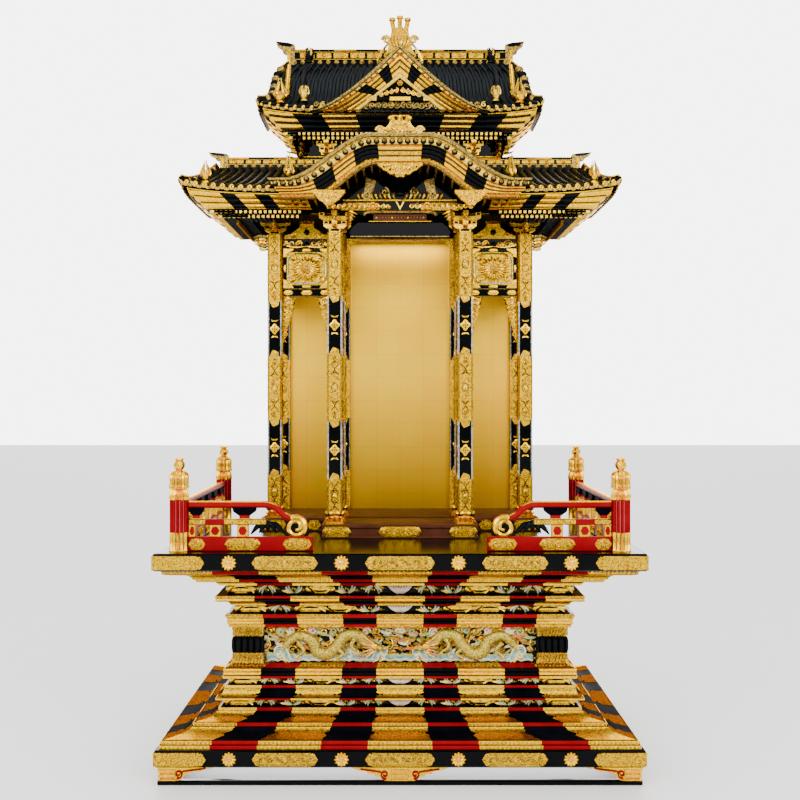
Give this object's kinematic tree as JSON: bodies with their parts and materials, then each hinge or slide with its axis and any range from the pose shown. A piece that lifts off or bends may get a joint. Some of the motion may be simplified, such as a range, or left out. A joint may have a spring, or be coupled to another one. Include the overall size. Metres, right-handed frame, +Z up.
{
  "type": "temple altar dais with palace shrine",
  "caption": "Lacquered and gilded Buddhist altar dais with stepped mouldings and railings, carrying a palace shrine with two tiled roofs and an open niche for an image.",
  "frame": {"origin": "on the floor under the middle of the dais", "axes": "+Z up, +X to the viewer's right, front towards -Y"},
  "size_m": [1.82, 1.21, 3.0673],
  "materials": {
    "black_lacquer": "black gloss lacquer",
    "gold_leaf": "gold leaf over lacquered wood",
    "red_lacquer": "vermilion gloss lacquer",
    "painted_carving": "carved wood, painted and gilded",
    "brown_lacquer": "polished brown lacquer",
    "roof_tile": "wooden tiles in dark lacquer"
  },
  "bodies": {
    "root": {"base_rail_front": "black_lacquer", "base_rail_back": "black_lacquer", "base_rail_left": "black_lacquer", "base_rail_right": "black_lacquer", "bottom_board": "black_lacquer", "lower_steps": "black_lacquer", "lower_rolls": "black_lacquer", "waist_panel_back": "black_lacquer", "upper_rolls": "black_lacquer", "upper_steps": "black_lacquer", "top_board": "black_lacquer", "porch_front": "black_lacquer", "porch_gable": "black_lacquer", "lower_ridge": "black_lacquer", "upper_ridge": "black_lacquer", "upper_gable": "black_lacquer", "corner_foot_back_left": "gold_leaf", "corner_foot_back_right": "gold_leaf", "corner_foot_front_left": "gold_leaf", "corner_foot_front_right": "gold_leaf", "middle_foot_front": "gold_leaf", "middle_foot_back": "gold_leaf", "corner_post_back_left": "gold_leaf", "corner_post_back_right": "gold_leaf", "corner_post_front_left": "gold_leaf", "corner_post_front_right": "gold_leaf", "rear_wall": "gold_leaf", "lower_eaves": "gold_leaf", "upper_body": "gold_leaf", "porch_crest": "gold_leaf", "porch_column_left": "gold_leaf", "porch_column_right": "gold_leaf", "inner_column_left": "gold_leaf", "inner_column_right": "gold_leaf", "outer_column_left": "gold_leaf", "outer_column_right": "gold_leaf", "lower_lip": "red_lacquer", "upper_lip": "red_lacquer", "railing_post_back_left": "red_lacquer", "railing_post_back_right": "red_lacquer", "railing_post_front_left": "red_lacquer", "railing_post_front_right": "red_lacquer", "front_railing_left": "red_lacquer", "front_railing_right": "red_lacquer", "side_railing_left": "red_lacquer", "side_railing_right": "red_lacquer", "lower_carved_strip": "painted_carving", "lower_shadow_strip": "painted_carving", "flower_strip": "painted_carving", "upper_carved_strip": "painted_carving", "dragon_panel_front": "painted_carving", "wave_panel_left": "painted_carving", "wave_panel_right": "painted_carving", "front_transom_left": "painted_carving", "front_transom_right": "painted_carving", "side_transom_left": "painted_carving", "side_transom_right": "painted_carving", "plinth": "brown_lacquer", "lower_roof": "roof_tile", "upper_roof": "roof_tile"}
  },
  "joints": []
}
